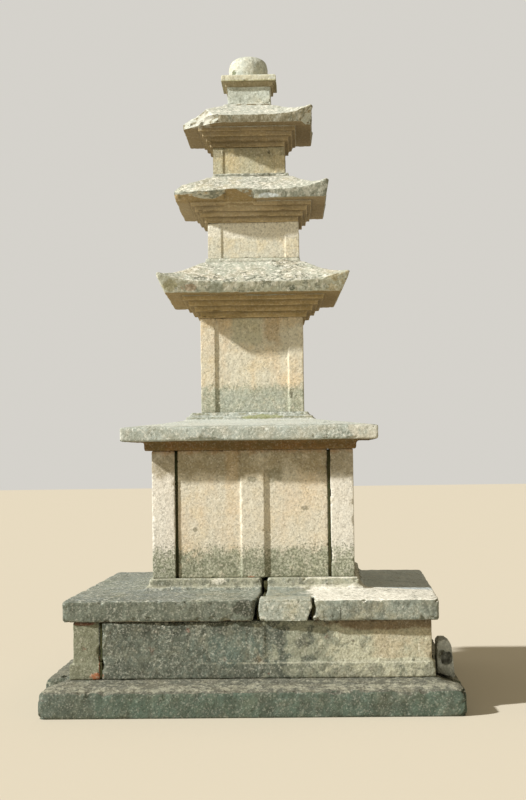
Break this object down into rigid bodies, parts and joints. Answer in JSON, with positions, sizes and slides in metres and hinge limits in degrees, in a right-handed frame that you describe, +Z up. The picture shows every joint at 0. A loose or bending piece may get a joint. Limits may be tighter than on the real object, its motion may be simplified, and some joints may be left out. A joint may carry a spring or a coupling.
{
  "type": "three-storey stone pagoda",
  "caption": "Weathered granite pagoda with corbelled roof stones, flat pilasters, a stepped base and a bowl-shaped finial",
  "frame": {"origin": "middle of the bottom face, on the ground", "axes": "+Z up through the finial, +X to the right and +Y away from someone who faces the front"},
  "size_m": [2.602, 2.602, 4.336],
  "materials": {
    "ground_granite": "rough, mossy",
    "lichened_granite": "rough, lichened",
    "dark_granite": "rough, damp",
    "cream_granite": "dressed, weathered",
    "pale_granite": "dressed, weathered",
    "rubble_fill": "rough"
  },
  "bodies": {
    "root": {"ground_stone_front": "ground_granite", "ground_stone_back": "ground_granite", "ground_stone_left": "ground_granite", "ground_stone_right": "ground_granite", "rubble_core": "rubble_fill", "lower_base_front": "lichened_granite", "lower_base_right": "lichened_granite", "lower_base_back": "lichened_granite", "lower_base_left": "lichened_granite", "lower_base_right_fragment": "dark_granite", "lower_cap_front_left": "lichened_granite", "lower_cap_front_right": "lichened_granite", "lower_cap_back_left": "lichened_granite", "lower_cap_back_right": "lichened_granite", "lower_cap_fragment": "pale_granite", "upper_base_front": "cream_granite", "upper_base_back": "cream_granite", "upper_base_left": "cream_granite", "upper_base_right": "cream_granite", "upper_capstone": "pale_granite", "body_1": "cream_granite", "body_2": "cream_granite", "body_3": "cream_granite", "roof_1": "pale_granite", "roof_2": "pale_granite", "roof_3": "pale_granite", "finial_base": "pale_granite", "finial_bowl": "pale_granite"}
  },
  "joints": []
}
